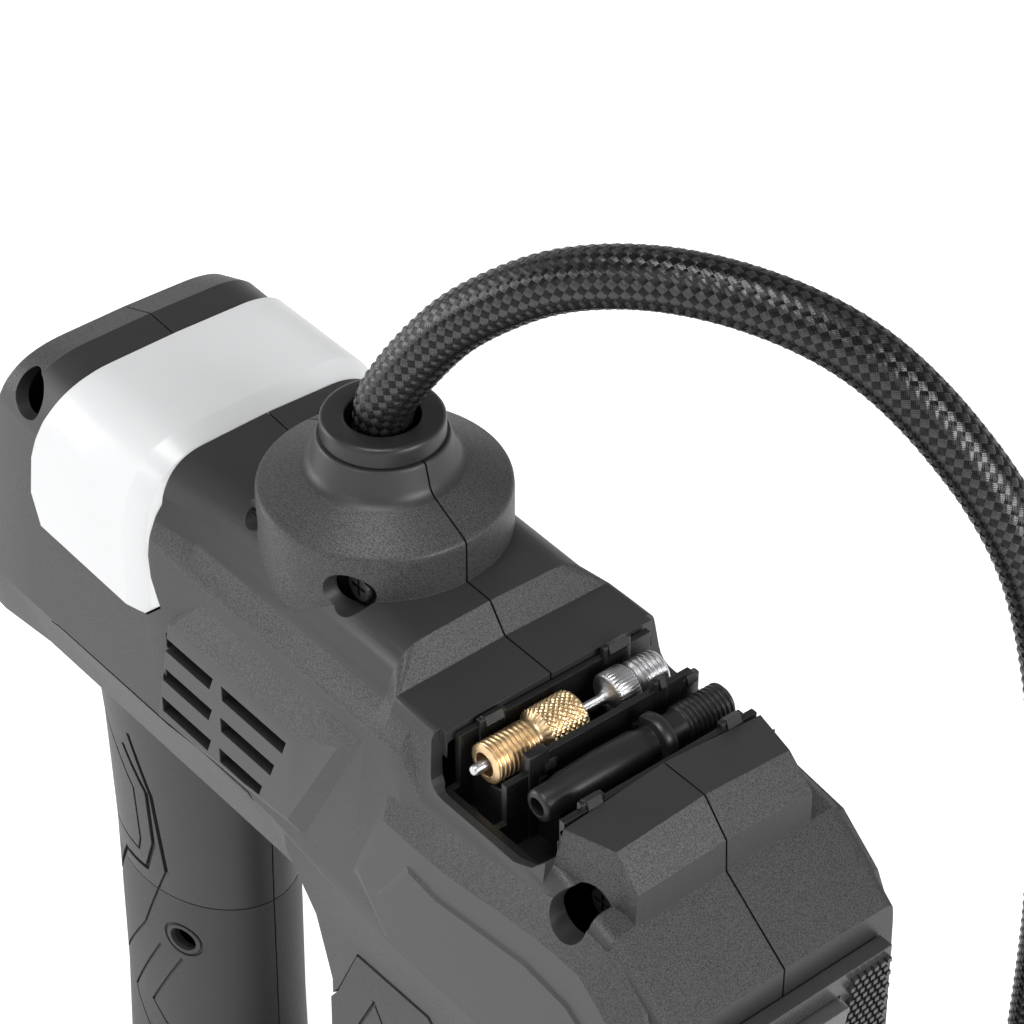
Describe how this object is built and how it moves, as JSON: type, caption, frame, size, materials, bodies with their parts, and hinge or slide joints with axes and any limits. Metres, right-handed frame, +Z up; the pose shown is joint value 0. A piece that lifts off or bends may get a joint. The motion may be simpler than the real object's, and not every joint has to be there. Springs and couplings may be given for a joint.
{
  "type": "portable tire inflator",
  "caption": "Handheld cordless tyre inflator with a D-shaped finger loop, tilted display, top hose drum, open accessory tray and a braided air hose ending in a lever chuck.",
  "frame": {"origin": "centre of the resting face of the rubber foot under the base, at the middle of the tool's length", "axes": "+X toward the lamp end, +Y toward the side where the hose comes down, +Z up"},
  "size_m": [0.2509, 0.1267, 0.324],
  "materials": {
    "housing_plastic": "fine sparked dark grey, slightly lighter on the facets",
    "light_band": "milky white, semi-gloss",
    "circuit_board": "green solder mask",
    "black_plastic": "satin black",
    "display_glass": "dark tinted window",
    "soft_button": "matte",
    "tray_plastic": "satin near-black",
    "brass": "turned and knurled",
    "nickel_plate": "bright nickel",
    "hose_braid": "woven black nylon, glossy strands",
    "steel": "plain",
    "black_rubber": "matte",
    "grip_rubber": "soft matte with grooves",
    "mesh_plastic": "small square studs",
    "lamp_lens": "smoky diffuser",
    "trigger_plastic": "satin",
    "white_nylon": "moulded nylon",
    "cast_aluminium": "die cast",
    "cell_wrap": "shrink sleeve",
    "lead_insulation": "silicone insulation"
  },
  "bodies": {
    "housing": {"shell_near": "housing_plastic", "shell_far": "housing_plastic", "light_band": "light_band", "band_led_board": "circuit_board", "display_bezel": "black_plastic", "display_glass": "display_glass", "display_board": "circuit_board", "tray": "tray_plastic", "hose": "hose_braid", "hose_collar": "black_plastic", "hose_fitting": "brass", "hose_ferrule": "nickel_plate", "chuck_body": "black_plastic", "chuck_pin": "steel", "chuck_seal": "black_rubber", "grip_near": "grip_rubber", "grip_far": "grip_rubber", "pad_near": "grip_rubber", "pad_far": "grip_rubber", "foot_pad": "black_rubber", "front_frame": "black_plastic", "front_mesh": "mesh_plastic", "lamp_lens": "lamp_lens", "lamp_board": "circuit_board", "trigger_spring": "steel", "trigger_switch": "black_plastic", "motor_can": "steel", "motor_end_cap": "white_nylon", "pump_frame": "cast_aluminium", "crank_bearing": "steel", "cylinder": "cast_aluminium", "valve_plate": "steel", "cylinder_head": "cast_aluminium", "sensor_tube": "black_rubber", "pressure_sensor": "black_plastic", "main_board": "circuit_board", "cell_1": "cell_wrap", "cell_2": "cell_wrap", "cell_holder": "white_nylon", "battery_lead": "lead_insulation", "charge_socket": "nickel_plate", "screw_drum_front": "steel", "screw_drum_rear": "steel", "screw_rear": "steel", "screw_front": "steel", "screw_handle": "steel"},
    "rotor": {"motor_shaft": "steel", "motor_fan": "white_nylon"},
    "crank": {"crank_gear": "steel"},
    "piston": {"piston_rod": "cast_aluminium", "piston_seal": "black_rubber"},
    "trigger": {"trigger": "trigger_plastic"},
    "mode_key": {"button_mode": "soft_button"},
    "minus_key": {"button_minus": "soft_button"},
    "plus_key": {"button_plus": "soft_button"},
    "adapter": {"adapter": "brass"},
    "needle": {"needle": "nickel_plate"},
    "nozzle": {"nozzle": "black_plastic"},
    "chuck_lever": {"chuck_lever": "steel"},
    "socket_flap": {"socket_flap": "black_rubber"}
  },
  "joints": [
    {"name": "crank_spin", "type": "hinge", "parent": "housing", "child": "crank", "pos_m": [-0.012, 0, 0.199], "axis": [1, 0, 0], "continuous": true},
    {"name": "motor_spin", "type": "hinge", "parent": "housing", "child": "rotor", "pos_m": [-0.04, 0, 0.175], "axis": [1, 0, 0], "continuous": true},
    {"name": "piston_stroke", "type": "slide", "parent": "housing", "child": "piston", "axis": [0, 0, 1], "range_m": [0, 0.01]},
    {"name": "trigger_pull", "type": "slide", "parent": "housing", "child": "trigger", "axis": [-1, 0, 0], "range_m": [0, 0.0045], "stiffness_N_per_m": 400, "deforming": ["trigger_spring"]},
    {"name": "mode_press", "type": "slide", "parent": "housing", "child": "mode_key", "axis": [0.9511, 0, -0.309], "range_m": [0, 0.001], "stiffness_N_per_m": 600},
    {"name": "minus_press", "type": "slide", "parent": "housing", "child": "minus_key", "axis": [0.9511, 0, -0.309], "range_m": [0, 0.001], "stiffness_N_per_m": 600},
    {"name": "plus_press", "type": "slide", "parent": "housing", "child": "plus_key", "axis": [0.9511, 0, -0.309], "range_m": [0, 0.001], "stiffness_N_per_m": 600},
    {"name": "adapter_lift", "type": "slide", "parent": "housing", "child": "adapter", "axis": [0, 0, 1], "range_m": [0, 0.03]},
    {"name": "needle_pull", "type": "slide", "parent": "adapter", "child": "needle", "axis": [0, 1, 0], "range_m": [0, 0.05]},
    {"name": "nozzle_lift", "type": "slide", "parent": "housing", "child": "nozzle", "axis": [0, 0, 1], "range_m": [0, 0.03]},
    {"name": "lever_tilt", "type": "hinge", "parent": "housing", "child": "chuck_lever", "pos_m": [-0.0085, 0.084, 0.0236], "axis": [0, -1, 0], "range_deg": [0, 80]},
    {"name": "flap_swing", "type": "hinge", "parent": "housing", "child": "socket_flap", "pos_m": [-0.1077, 0, 0.013], "axis": [0, 1, 0], "range_deg": [0, 100]}
  ],
  "couplings": [
    {"joint": "motor_spin", "follows": "crank_spin", "ratio": -4}
  ]
}
